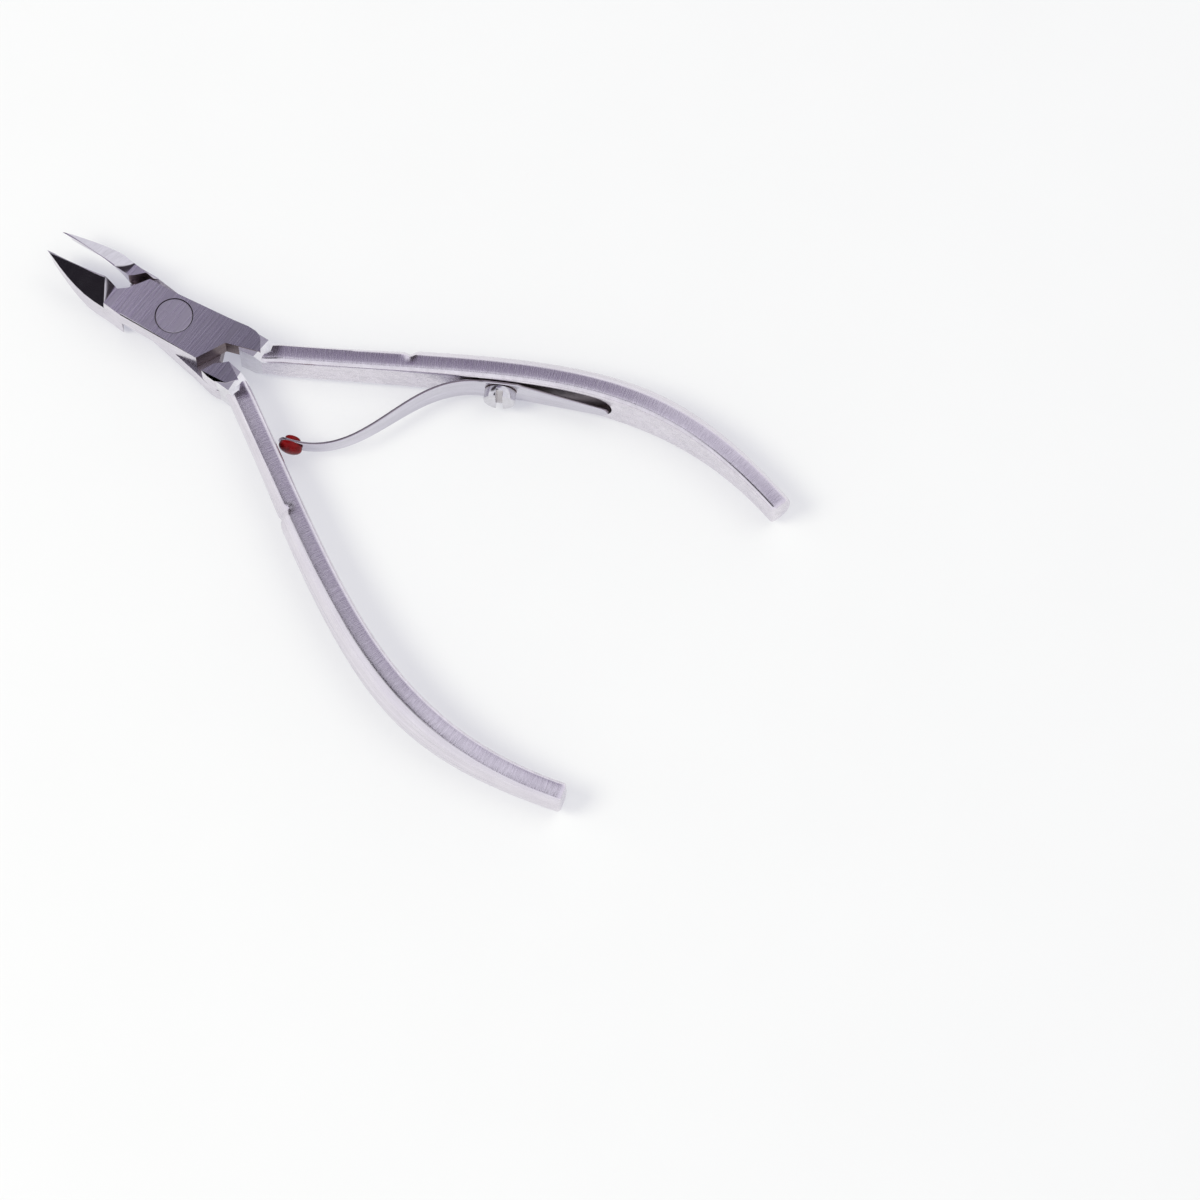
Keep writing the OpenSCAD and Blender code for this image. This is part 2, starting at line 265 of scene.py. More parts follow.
def loft(name, rings, materials, label, uv):
    """A closed skin through equal rings of points. label gives each face its material, and uv its place."""
    bm = bmesh.new()
    layer = bm.loops.layers.uv.new("run")
    rows = [[bm.verts.new(p) for p in ring] for ring in rings]
    count = len(rows[0])
    for i in range(len(rows) - 1):
        for j in range(count):
            k = (j + 1) % count
            face = bm.faces.new((rows[i][j], rows[i][k], rows[i + 1][k], rows[i + 1][j]))
            face.smooth = True
            face.material_index = label(i, j)
            places = [(i, j), (i, j + 1), (i + 1, j + 1), (i + 1, j)]
            for loop, (a, b) in zip(face.loops, places):
                loop[layer].uv = uv(a, b)
    for row in (rows[0], rows[-1]):
        face = bm.faces.new(row)
        for loop in face.loops:
            loop[layer].uv = (loop.vert.co.y * 0.1, loop.vert.co.z * 0.1)
    return new_object(name, bm, materials)


def lathe(name, profile, material, steps):
    """A solid of revolution about Z: profile is (radius, height) from the axis out and back to the axis."""
    bm = bmesh.new()
    rings = []
    for r, z in profile:
        if r == 0:
            rings.append([bm.verts.new((0, 0, z))])
        else:
            turns = [2 * math.pi * k / steps for k in range(steps)]
            rings.append([bm.verts.new((r * math.cos(a), r * math.sin(a), z)) for a in turns])
    for i in range(len(rings) - 1):
        a, b = rings[i], rings[i + 1]
        for k in range(steps):
            n = (k + 1) % steps
            corners = [a[k % len(a)], a[n % len(a)], b[n % len(b)], b[k % len(b)]]
            bm.faces.new(list(dict.fromkeys(corners))).smooth = True
    return new_object(name, bm, [material])


def settle(obj):
    """Turns an object's modifiers into its mesh."""
    graph = bpy.context.evaluated_depsgraph_get()
    mesh = bpy.data.meshes.new_from_object(obj.evaluated_get(graph))
    obj.modifiers.clear()
    obj.data = mesh


def combine(target, other, operation):
    """UNION or DIFFERENCE of two closed meshes; the other object is used up."""
    modifier = target.modifiers.new("combine", "BOOLEAN")
    modifier.operation = operation
    modifier.solver = "EXACT"
    modifier.material_mode = "TRANSFER"
    modifier.object = other
    settle(target)
    bpy.data.objects.remove(other)
    return target


def clean(obj):
    """Merges the flat faces that a boolean split, and the points that it left close together."""
    bm = bmesh.new()
    bm.from_mesh(obj.data)
    bmesh.ops.remove_doubles(bm, verts=bm.verts, dist=0.004 * MM)
    bmesh.ops.dissolve_limit(bm, angle_limit=math.radians(0.4), verts=bm.verts, edges=bm.edges,
                             delimit={"MATERIAL"})
    bm.to_mesh(obj.data)
    bm.free()


def round_edges(obj, width, degrees):
    """Breaks every edge sharper than the given angle with a small round."""
    modifier = obj.modifiers.new("round", "BEVEL")
    modifier.width = width * MM
    modifier.segments = 2
    modifier.limit_method = "ANGLE"
    modifier.angle_limit = math.radians(degrees)
    modifier.use_clamp_overlap = True
    modifier.miter_outer = "MITER_ARC"
    settle(obj)


def shade(obj, degrees=32):
    """Smooth shading that stays flat on the big faces and sharp at the corners."""
    obj.data.shade_smooth()
    obj.data.set_sharp_from_angle(angle=math.radians(degrees))
    modifier = obj.modifiers.new("normals", "WEIGHTED_NORMAL")
    modifier.mode = "FACE_AREA"
    modifier.keep_sharp = True
    modifier.weight = 60
    settle(obj)


def move(obj, matrix):
    """Moves the mesh itself; a mirrored mesh has its faces turned back outwards."""
    obj.data.transform(matrix)
    if matrix.determinant() < 0:
        obj.data.flip_normals()
    return obj


# ---- materials ----

def node_material(name):
    material = bpy.data.materials.new(name)
    material.use_nodes = True
    tree = material.node_tree
    return material, tree, tree.nodes["Principled BSDF"]


def add(tree, kind, **settings):
    node = tree.nodes.new(kind)
    for key, value in settings.items():
        if key.startswith("in_"):
            node.inputs[key[3:].replace("_", " ")].default_value = value
        else:
            setattr(node, key, value)
    return node


def stretched_noise(tree, source, scale, turn=0.0, detail=5.0):
    """Noise that is long one way and fine the other; scale is per metre, or per UV unit."""
    mapping = add(tree, "ShaderNodeMapping")
    mapping.inputs["Rotation"].default_value = (0, 0, turn)
    mapping.inputs["Scale"].default_value = scale
    tree.links.new(source, mapping.inputs["Vector"])
    noise = add(tree, "ShaderNodeTexNoise", in_Scale=1.0, in_Detail=detail, in_Roughness=0.62)
    tree.links.new(mapping.outputs["Vector"], noise.inputs["Vector"])
    return noise.outputs["Fac"]


def ranged(tree, value, low, high, out_low, out_high):
    node = add(tree, "ShaderNodeMapRange")
    for socket, number in (("From Min", low), ("From Max", high), ("To Min", out_low), ("To Max", out_high)):
        node.inputs[socket].default_value = number
    tree.links.new(value, node.inputs["Value"])
    return node.outputs["Result"]


def mixed(tree, factor, a, b, blend="MIX"):
    """Mixes two colours by a socket; each colour is a value or a socket too."""
    node = add(tree, "ShaderNodeMix", data_type="RGBA", blend_type=blend)
    tree.links.new(factor, node.inputs[0])
    for socket, value in ((node.inputs[6], a), (node.inputs[7], b)):
        if isinstance(value, tuple):
            socket.default_value = (*value, 1)
        else:
            tree.links.new(value, socket)
    return node.outputs[2]


def steel(name, colour, roughness, strokes, depth, coords="Object", turn=0.0, patches=0.5, painted_crevice_shade=0.35,
          speckle=0.0, contrast=0.72, painted_shade_along_x=None):
    """Ground or polished steel. strokes is the noise scale of its grinding marks, long one way.

    contrast is the tone of the marks against the steel.
    fade paints a shade along X: two places, in metres, and the tone that the steel is darkened to at the
    second.
    """
    material, tree, shader = node_material(name)
    shader.inputs["Metallic"].default_value = 1.0
    place = add(tree, "ShaderNodeTexCoord")
    source = place.outputs[coords]
    cloud = stretched_noise(tree, place.outputs["Object"], (260, 260, 260), detail=3.0)
    tone = mixed(tree, ranged(tree, cloud, 0.3, 0.7, 0.0, patches), colour,
                 tuple(c * k for c, k in zip(colour, (0.86, 0.84, 0.88))))
    fine = stretched_noise(tree, source, strokes, turn)
    broad = stretched_noise(tree, source, tuple(s * 0.28 for s in strokes), turn, detail=2.0)
    share = add(tree, "ShaderNodeMath", operation="MULTIPLY")
    tree.links.new(broad, share.inputs[0])
    share.inputs[1].default_value = 0.35
    marks = add(tree, "ShaderNodeMath", operation="MULTIPLY_ADD")
    tree.links.new(fine, marks.inputs[0])
    marks.inputs[1].default_value = 0.65
    tree.links.new(share.outputs[0], marks.inputs[2])
    streaks = marks.outputs[0]
    dark = tuple(c * contrast for c in colour)
    tone = mixed(tree, ranged(tree, streaks, 0.38, 0.62, 0.0, 0.55), tone, dark)
    rough = ranged(tree, streaks, 0.35, 0.65, roughness * 0.75, roughness * 1.3)
    bump = add(tree, "ShaderNodeBump", in_Strength=depth, in_Distance=0.00006)
    tree.links.new(streaks, bump.inputs["Height"])
    tree.links.new(bump.outputs["Normal"], shader.inputs["Normal"])
    # Painted shade: the steel darkens along X in object space, fixed in its colour.
    if painted_shade_along_x:
        start, end, deep = painted_shade_along_x
        split = add(tree, "ShaderNodeSeparateXYZ")
        tree.links.new(place.outputs["Object"], split.inputs[0])
        along = ranged(tree, split.outputs["X"], start, end, 0.0, 1.0)
        tone = mixed(tree, along, tone, (deep, deep, deep * 1.04), blend="MULTIPLY")
    if speckle:
        grains = stretched_noise(tree, place.outputs["Object"], (5200, 5200, 5200), detail=1.0)
        tone = mixed(tree, ranged(tree, grains, 0.62, 0.74, 0.0, speckle), tone, (0.75, 0.76, 0.8))
    # Painted shade: ambient occlusion darkens creases, slots and recesses towards dark brown.
    if painted_crevice_shade:
        shadow = add(tree, "ShaderNodeAmbientOcclusion", samples=6, in_Distance=0.0011)
        crevice = ranged(tree, shadow.outputs["AO"], 0.25, 0.8, painted_crevice_shade, 0.0)
        tone = mixed(tree, crevice, tone, (0.16, 0.1, 0.075))
    tree.links.new(tone, shader.inputs["Base Color"])
    tree.links.new(rough, shader.inputs["Roughness"])
    return material


def plastic(name):
    """Deep red moulded plastic with a faint mottle and soft handling marks."""
    material, tree, shader = node_material(name)
    place = add(tree, "ShaderNodeTexCoord")
    cloud = stretched_noise(tree, place.outputs["Object"], (900, 900, 900), detail=4.0)
    tone = mixed(tree, ranged(tree, cloud, 0.35, 0.65, 0.0, 1.0), (0.2, 0.003, 0.004), (0.1, 0.002, 0.003))
    tree.links.new(tone, shader.inputs["Base Color"])
    tree.links.new(ranged(tree, cloud, 0.3, 0.7, 0.16, 0.3), shader.inputs["Roughness"])
    shader.inputs["Specular IOR Level"].default_value = 0.15
    bump = add(tree, "ShaderNodeBump", in_Strength=0.15, in_Distance=0.00003)
    tree.links.new(cloud, bump.inputs["Height"])
    tree.links.new(bump.outputs["Normal"], shader.inputs["Normal"])
    return material


def floor_material():
    """Pale board; its own faint glow keeps the shadows on it light and a little lavender."""
    material, tree, shader = node_material("pale_floor")
    place = add(tree, "ShaderNodeTexCoord")
    cloud = stretched_noise(tree, place.outputs["Object"], (30, 30, 30), detail=6.0)
    tone = mixed(tree, cloud, (0.45, 0.455, 0.38), (0.47, 0.475, 0.4))
    tree.links.new(tone, shader.inputs["Base Color"])
    shader.inputs["Emission Color"].default_value = (0.37, 0.37, 0.45, 1)
    shader.inputs["Emission Strength"].default_value = 1.0
    shader.inputs["Roughness"].default_value = 0.75
    shader.inputs["Specular IOR Level"].default_value = 0.2
    return material


PALE = (0.82, 0.785, 0.84)
# The plate's top darkens along the joint's length: painted shade.
PLATE = steel("plate_brushed_painted_shade", (0.67, 0.62, 0.73), 0.27, strokes=(3400, 160, 160), depth=0.7, patches=0.6,
              contrast=0.6, painted_shade_along_x=(-0.01, 0.012, 0.55))
WALL = steel("wall_satin", PALE, 0.22, strokes=(500, 500, 3000), depth=0.15)
BEVEL = steel("bevel_ground", (0.7, 0.68, 0.74), 0.12, strokes=(2600, 300, 300), depth=0.08, turn=0.5,
              speckle=0.3)
# A darker copy of the bevel's ground steel for the jaw's shoulder: painted shade.
SHADED_SHOULDER = steel("shoulder_ground_painted_shade", (0.6, 0.575, 0.63), 0.16, strokes=(2600, 300, 300), depth=0.1, turn=0.5)
# Brown steel for the walls in the notch, at the foot's front and in the throat: partly grime, partly painted
# shade.
GRIME_AND_SHADE_WALL = steel("wall_grime_and_painted_shade", (0.26, 0.2, 0.19), 0.28, strokes=(500, 500, 2600), depth=0.25, painted_crevice_shade=0.8)
FACET = steel("facet_polished", (0.86, 0.85, 0.88), 0.13, strokes=(900, 900, 900), depth=0.25)
HOLLOW = steel("hollow_polished", PALE, 0.1, strokes=(400, 2200, 400), depth=0.12)
EDGE = steel("edge_polished", PALE, 0.14, strokes=(900, 900, 900), depth=0.06)
BAND = steel("handle_band", (0.78, 0.73, 0.82), 0.24, strokes=(75, 6, 1), depth=0.7, coords="UV",
             contrast=0.66)
OUTER = steel("handle_outer", PALE, 0.24, strokes=(0.5, 26, 1), depth=0.9, coords="UV")
NECK = steel("handle_neck", PALE, 0.16, strokes=(2.0, 20, 1), depth=0.12, coords="UV")
INNER = steel("handle_inner", PALE, 0.26, strokes=(9, 9, 1), depth=0.12, coords="UV")
# Near-black steel for the pocket under the spring and the walls of the rivet's seat: painted shade.
POCKET_PAINTED_SHADE = steel("pocket_painted_shade", (0.2, 0.17, 0.19), 0.4, strokes=(900, 900, 900), depth=0.3, painted_crevice_shade=0.6)
SPRING = steel("leaf_satin", (0.7, 0.68, 0.75), 0.2, strokes=(1.2, 24, 1), depth=0.2, coords="UV", painted_crevice_shade=0.0)
# A darker copy of the leaf's steel for its narrow edges: a painted dark reflection.
LEAF_EDGE_PAINTED_DARK = steel("leaf_edge_painted_dark", (0.42, 0.37, 0.4), 0.25, strokes=(2, 30, 1), depth=0.2, coords="UV",
                    painted_crevice_shade=0.0)
RIVET = steel("rivet_brushed", (0.58, 0.54, 0.63), 0.3, strokes=(3400, 160, 160), depth=0.5, painted_crevice_shade=0.0)
SCREW = steel("screw_bright", (0.74, 0.73, 0.77), 0.14, strokes=(1500, 1500, 1500), depth=0.05, painted_crevice_shade=0.9)
RED = plastic("button_red")


# ---- halves ----

def handle_profile(t):
    """Cross-section of a handle: (out from the inner face, height, strip) for one full turn.

    A point's strip is that of the stretch from it to the next point.
    """
    away = (t - NOTCH_AT) * HANDLE_RUN
    groove = math.exp(-(away / GROOVE_W) ** 2)
    step = STEP_H * smooth(away / STEP_RUN) * (1 - smooth((t - NOTCH_AT) / STEP_FADE))
    h = swell(t, HALF_HEIGHTS) - ROOT_DIP * (1 - smooth(t * HANDLE_RUN / ROOT_RUN))
    w = swell(t, THICKNESSES) + step - GROOVE_BACK * groove
    crest_u = BAND_W - GROOVE_CREST * groove
    crest_z = h - BAND_DROP - GROOVE_BAND * groove
    half = []
    for i in range(6):
        half.append((0.0, (h - EDGE_R) * i / 6, "inner"))
    for i in range(9):
        a = math.pi * (1 - i / 18)
        u, z = EDGE_R + EDGE_R * math.cos(a), h - EDGE_R + EDGE_R * math.sin(a)
        half.append((u, z, "edge" if i < 7 else "band"))
    for i in range(8):
        u = i / 8
        half.append((mix(EDGE_R, crest_u, u), mix(h, crest_z, u * u), "band"))
    for i in range(19):
        a = CREST * (1 - i / 18)
        out = (math.cos(a) - math.cos(CREST)) / (1 - math.cos(CREST))
        half.append((mix(crest_u, w, out), crest_z * math.sin(a) / math.sin(CREST), "outer"))
    lower = [(half[n][0], -half[n][1], half[n - 1][2]) for n in range(len(half) - 2, 0, -1)]
    return half + lower


def handle_rings():
    """Rings of points along a handle, closer together at its rounded end, with the run to each of them."""
    runs = [0.0]
    for i in range(HANDLE_STEPS):
        a, b = (bezier(HANDLE_CURVE, k / HANDLE_STEPS) for k in (i, i + 1))
        runs.append(runs[-1] + (b - a).length)
    total = runs[-1]
    places = sorted(runs + [total - END_R * k for k in (0.75, 0.45, 0.2, 0.05)])
    rings = []
    for place in places:
        i = max(k for k in range(HANDLE_STEPS) if runs[k] <= place)
        t = (i + (place - runs[i]) / (runs[i + 1] - runs[i])) / HANDLE_STEPS
        c = bezier(HANDLE_CURVE, t)
        out = left_of(tangent(HANDLE_CURVE, t))
        left = max(0.0, END_R - (total - place))
        inset = END_R - math.sqrt(END_R ** 2 - left ** 2)
        mid_u = swell(t, THICKNESSES) / 2
        half_h = swell(t, HALF_HEIGHTS)
        ring = []
        for u, z, _ in handle_profile(t):
            u = mid_u + (u - mid_u) * (1 - inset / mid_u)
            z = z * (1 - inset / half_h)
            ring.append((c.x + out.x * u, c.y + out.y * u, MID_Z + z))
        rings.append(ring)
    return rings, places


def make_handle():
    rings, places = handle_rings()
    strips = [strip for _, _, strip in handle_profile(0.5)]
    order = {"inner": 0, "edge": 1, "band": 2, "outer": 3}
    neck_end = places[-1] * NOTCH_AT * 1.02
    around = [0.0]
    middle = rings[len(rings) // 2]
    for j in range(len(middle)):
        k = (j + 1) % len(middle)
        around.append(around[-1] + (Vector(middle[j]) - Vector(middle[k])).length)

    def label(i, j):
        if strips[j] == "outer" and places[i] < neck_end:
            return 4
        return order[strips[j]]

    def uv(i, j):
        return places[i] * 0.1, around[j] * 0.1

    return loft("handle", rings, [INNER, EDGE, BAND, OUTER, NECK], label, uv)


def make_lap():
    """The lap plate, with the foot and the block that join it to the handle."""
    outline = [THROAT, *LAP_FRONT, *LAP_BACK, *NOTCH, JAW_BACK[0], *INSIDE_JAW]
    lap = prism("lap", outline, LAP_Z, JOINT_T + SPARE, PLATE, WALL, dark=(10, 11))
    outline = [LAP_BACK[2], *BLOCK_FRONT, BLOCK_BACK[0], LAP_BACK[7], LAP_BACK[6], LAP_BACK[3]]
    foot = prism("foot", outline, 0, LAP_Z + SPARE, PLATE, WALL, dark=(1, 2))
    combine(lap, foot, "UNION")
    combine(lap, make_block(), "UNION")
    wide, deep = EDGE_CHAMFER
    start, end = CHAMFER_ENDS
    corners = ((-1, start), (-1, end), (2, end), (2, start))
    slope = [(x, y + k * wide, JOINT_T + k * deep) for k, (x, y) in corners]
    chamfer = space_above("chamfer", slope, [((0, 1, 2, 3), 0)], [0, 1, 2, 3], JOINT_T + CLEAR, [EDGE])
    return combine(lap, chamfer, "DIFFERENCE")


def make_block():
    """The block between the lap and the handle: its top falls away to the handle in a bright facet."""
    outline = [*BLOCK_FRONT, *BLOCK_BACK]
    bm = bmesh.new()
    rings = []
    for low in (True, False):
        ring = []
        for x, y in outline:
            drop = BLOCK_DROP if x > BLOCK_FALL else BLOCK_STEP
            ring.append(bm.verts.new((x, y, drop if low else JOINT_T - drop)))
        rings.append(ring)
    for i in range(len(outline)):
        k = (i + 1) % len(outline)
        bm.faces.new((rings[0][i], rings[0][k], rings[1][k], rings[1][i]))
    for ring in rings:
        bm.faces.new(ring)
    bmesh.ops.triangulate(bm, faces=[face for face in bm.faces if len(face.verts) > 4])
    return new_object("block", bm, [FACET])


def line_y(x, skew):
    return skew * (x - TIP.x) / (-TIP.x - EDGE_X)


def make_hollow(skew):
    """Ball and cone of the ground hollow behind the cutting edge."""
    wide = [HOLLOW_W[i] + HOLLOW_LEAN[i] * skew for i in (0, 1)]
    r = [(HOLLOW_H[i] ** 2 / wide[i] + wide[i]) / 2 for i in (0, 1)]
    c = [Vector((HOLLOW_X[i], line_y(HOLLOW_X[i], skew) + r[i] - wide[i], HOLLOW_Z[i])) for i in (0, 1)]
    run = (c[1] - c[0]) * HOLLOW_PAST
    far_r = mix(r[0], r[1], HOLLOW_PAST)
    lean = math.asin((r[0] - far_r) / run.length)
    steps = 40
    profile = [(0, -r[0])]
    for i in range(1, steps + 1):
        a = -math.pi / 2 + (math.pi / 2 + lean) * i / steps
        profile.append((r[0] * math.cos(a), r[0] * math.sin(a)))
    end = run.length + far_r * math.sin(lean)
    profile += [(far_r * math.cos(lean), end), (0, end)]
    hollow = lathe("hollow", profile, HOLLOW, 160)
    turn = run.to_track_quat("Z", "Y").to_matrix().to_4x4()
    return move(hollow, Matrix.Translation(c[0] * MM) @ turn)


def space_above(name, points, floors, outline, top, materials):
    """The space between some faces and a level above or below them. Each floor is (corners, material)."""
    bm = bmesh.new()
    low = [bm.verts.new(p) for p in points]
    high = {i: bm.verts.new((points[i][0], points[i][1], top)) for i in outline}
    for corners, material in floors:
        bm.faces.new([low[i] for i in corners]).material_index = material
    bm.faces.new([high[i] for i in outline])
    for a, b in zip(outline, outline[1:] + outline[:1]):
        bm.faces.new((low[a], low[b], high[b], high[a]))
    return new_object(name, bm, materials)


def make_jaw(skew):
    """A jaw: bevelled above, hollow below, thinning towards the tip."""
    rear = Vector((-EDGE_X, skew, EDGE_Z))
    outline = [TIP.xy, *reversed(JAW_SIDE), *JAW_BACK, THROAT, rear.xy]
    jaw = prism("jaw", [tuple(p) for p in outline], -SPARE / 2, JOINT_T + SPARE / 2, PLATE, WALL,
                dark=(9, 10))
    normal = (rear - TIP).cross(BEVEL_OUT - TIP)

    def on_bevel(x, y):
        return Vector((x, y, TIP.z - (normal.x * (x - TIP.x) + normal.y * (y - TIP.y)) / normal.z))

    fall = BEVEL_OUT - rear
    above = JOINT_T + CLEAR
    reach = TIP.x - CLEAR
    crest = JOINT_T + CREST_RISE
    ridge = (on_bevel(*(rear - RIDGE_PAST * fall).xy), on_bevel(*(BEVEL_OUT + RIDGE_PAST * fall).xy))
    top = (Vector((THROAT[0] + CREST_SHIFT, THROAT[1] + CREST_PAST, crest)),
           Vector((SHOULDER_OUT[0] - CREST_RISE, SHOULDER_OUT[1] - CREST_PAST, crest)))
    points = [on_bevel(reach, -4.5), on_bevel(reach, 2.5)]
    for k in range(SHOULDER_ROWS + 1):
        u = k / SHOULDER_ROWS
        for low, high in zip(ridge, top):
            place = low.lerp(high, u)
            points.append(Vector((place.x, place.y, mix(low.z, high.z, math.sin(u * math.pi / 2)))))
    floors = [((2, 1, 0, 3), 0)]
    for k in range(2, 2 * SHOULDER_ROWS + 2, 2):
        floors += [((k, k + 1, k + 3), 1), ((k, k + 3, k + 2), 1)]
    inner = list(range(2, len(points), 2))
    outer = list(range(3, len(points), 2))
    cutters = [space_above("top", points, floors, [0, *outer, *reversed(inner), 1], above, [BEVEL, SHADED_SHOULDER])]
    near, far = on_bevel(-EDGE_X, skew - EDGE_FLAT), on_bevel(reach, line_y(reach, skew) - EDGE_FLAT)
    aside = Vector((0, 2, 0))
    cutters.append(space_above("edge_flat", [near, far, far + aside, near + aside], [((0, 1, 2, 3), 0)],
                               [0, 1, 2, 3], above, [EDGE]))
    rise = TIP_RISE / (TIP.x - UNDER_X)
    under = [(UNDER_X, -6, 0), (UNDER_X, 3, 0), (reach, 3, rise * (reach - UNDER_X)),
             (reach, -6, rise * (reach - UNDER_X))]
    cutters.append(space_above("under", under, [((0, 1, 2, 3), 0)], [0, 1, 2, 3], -3, [WALL]))
    if skew < 0:
        (y0, z0), (y1, z1) = RELIEF_LOW, RELIEF_HIGH
        y2, z2 = mix(y0, y1, RELIEF_PAST), mix(z0, z1, RELIEF_PAST)
        x0, x1 = RELIEF_X
        side = [(x0, y0, z0), (x1, y0, z0), (x1, y2, z2), (x0, y2, z2), (x0, -6, z0), (x1, -6, z0)]
        cutters.append(space_above("relief", side, [((0, 1, 2, 3), 0), ((0, 4, 5, 1), 0)],
                                   [3, 2, 1, 5, 4, 0], 9, [WALL]))
    for cutter in (*cutters, make_hollow(skew)):
        combine(jaw, cutter, "DIFFERENCE")
    return jaw


def rivet_seat():
    """What is cut out of both laps for the rivet, with a thin gap round its ends; the walls it leaves take
    the near-black pocket steel, painted shade in that gap.
    """
    r, shank = RIVET_D / 2 + RIVET_SEAT, RIVET_SHANK_R + RIVET_PLAY
    profile = [(0, -1), (r, -1), (r, RIVET_END_H), (shank, RIVET_END_H), (shank, JOINT_T - RIVET_END_H),
               (r, JOINT_T - RIVET_END_H), (r, JOINT_T + 1), (0, JOINT_T + 1)]
    return lathe("seat", profile, POCKET_PAINTED_SHADE, 128)


def spring_frame():
    """The spring's own frame: +X towards the handle's end, -Y off its inner face, at rest."""
    joint = next(j for j in frame["joints"] if j["name"] == "leaf_swivel")
    up = Vector(joint["axis"])
    turn = Matrix.Rotation(math.atan2(-up.x, up.y), 4, "Z")
    return Matrix.Translation(Vector(joint["pos_m"])) @ turn


def make_pocket():
    """Round-ended pocket under the spring, drawn on the spring's line with Z through the handle; its
    near-black steel is painted shade under the spring.
    """
    r = POCKET_W / 2
    outline = []
    for end, start in ((POCKET_ENDS[1] - r, -90), (POCKET_ENDS[0] + r, 90)):
        for k in range(25):
            a = math.radians(start + 180 * k / 24)
            outline.append((end + r * math.cos(a), r * math.sin(a)))
    pocket = prism("pocket", outline, -6, POCKET_DEPTH, POCKET_PAINTED_SHADE, POCKET_PAINTED_SHADE)
    return move(pocket, spring_frame() @ Matrix.Rotation(math.radians(-90), 4, "X"))


def make_half(name, side):
    """side 1 is the half with the spring, side -1 the plain one, whose lap is turned over."""
    lap = make_lap()
    handle = make_handle()
    jaw = make_jaw(side * EDGE_SKEW)
    if side < 0:
        over = Matrix.Translation((0, 0, JOINT_T * MM)) @ Matrix.Rotation(math.pi, 4, "X")
        move(lap, over)
        move(handle, over)
        move(jaw, Matrix.Diagonal((1, -1, 1, 1)))
    combine(lap, jaw, "UNION")
    slab = prism("slab", [(-40, -20), (40, -20), (40, 20), (-40, 20)], 0, JOINT_T, PLATE, PLATE)
    combine(lap, slab, "INTERSECT")
    combine(lap, rivet_seat(), "DIFFERENCE")
    clean(lap)
    round_edges(lap, LAP_ROUND, 28)
    combine(lap, handle, "UNION")
    move(lap, Matrix.Rotation(side * OPEN_HALF, 4, "Z"))
    if side > 0:
        combine(lap, make_pocket(), "DIFFERENCE")
    lap.name = name + "_body"
    shade(lap)
    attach(lap, name)
    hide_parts(name)
    return lap


# ---- small parts ----

def make_rivet():
    """The rivet, with its ends a hair below the joint's faces."""
    r, low, high = RIVET_D / 2, RIVET_SINK, JOINT_T - RIVET_SINK
    profile = [(0, low), (r - RIVET_CHAMFER, low), (r, low + RIVET_CHAMFER), (r, RIVET_END_H),
               (RIVET_SHANK_R, RIVET_END_H), (RIVET_SHANK_R, JOINT_T - RIVET_END_H),
               (r, JOINT_T - RIVET_END_H), (r, high - RIVET_CHAMFER), (r - RIVET_CHAMFER, high), (0, high)]
    rivet = lathe("rivet_body", profile, RIVET, 128)
    shade(rivet)
    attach(rivet, "plain_half")
    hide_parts("pivot_rivet")


def leaf_width(place, arm_l, total):
    """Width of the leaf at a distance from the arm's tip."""
    if place < arm_l:
        width = mix(LEAF_TIP_W, STRIP_W, smooth((place - TAPER[0]) / (arm_l - TAPER[0] - TAPER[1])))
        r = LEAF_TIP_W / 2
    else:
        past = (place - arm_l - 2 * EYE_L) / (total - arm_l - 2 * EYE_L)
        width = mix(STRIP_W, TAIL_TIP_W, min(1, max(0, past)))
        r = TAIL_TIP_W / 2
    eye = 1 - abs(place - arm_l - EYE_L) / (EYE_L + 0.8)
    width = mix(width, LEAF_W, smooth(eye * 4))
    end = min(place, total - place)
    if end < r:
        width = min(width, 2 * math.sqrt(max(0.0025, r * r - (r - end) ** 2)))
    return width


def make_leaf():
    """The leaf: a strip with rounded corners, swept along its arm, its flat eye and its tail."""
    lift = Vector((0, EYE_Y - ARM_CURVE[3][1]))
    points = [bezier(ARM_CURVE, i / ARM_STEPS) + lift * smooth(i / ARM_STEPS) for i in range(ARM_STEPS)]
    points += [Vector((-EYE_L + 2 * EYE_L * i / EYE_STEPS, EYE_Y)) for i in range(EYE_STEPS)]
    start, end = Vector((EYE_L, EYE_Y)), Vector(TAIL_END)
    points += [start.lerp(end, i / TAIL_STEPS) for i in range(TAIL_STEPS + 1)]
    runs = [0.0]
    for a, b in zip(points, points[1:]):
        runs.append(runs[-1] + (b - a).length)
    arm_l = runs[ARM_STEPS]
    rings = []
    for i, p in enumerate(points):
        ahead = points[min(i + 1, len(points) - 1)]
        behind = points[max(i - 1, 0)]
        n = left_of((ahead - behind).normalized())
        half = leaf_width(runs[i], arm_l, runs[-1]) / 2
        r = min(LEAF_CORNER, half * 0.8)
        ring = []
        for sx, sz, start_deg in ((1, 1, 0), (-1, 1, 90), (-1, -1, 180), (1, -1, 270)):
            for k in range(4):
                a = math.radians(start_deg + 30 * k)
                across = sx * (LEAF_T / 2 - r) + r * math.cos(a)
                high = sz * (half - r) + r * math.sin(a)
                ring.append((p.x + n.x * across, p.y + n.y * across, high))
        rings.append(ring)
    around = [0.0]
    for flat in (0.45, 2.75, 0.45, 2.75):
        around += [around[-1] + 0.05 * k for k in (1, 2, 3)]
        around.append(around[-1] + flat)
    # The two narrow edge faces take the darker leaf steel, a painted dark reflection.
    leaf = loft("leaf_body", rings, [SPRING, LEAF_EDGE_PAINTED_DARK], lambda i, j: 1 if j in (3, 11) else 0,
                lambda i, j: (runs[i] * 0.1, around[j] * 0.1))
    place = spring_frame()
    move(leaf, place)
    shade(leaf, 40)
    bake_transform(leaf)
    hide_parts("leaf_spring")


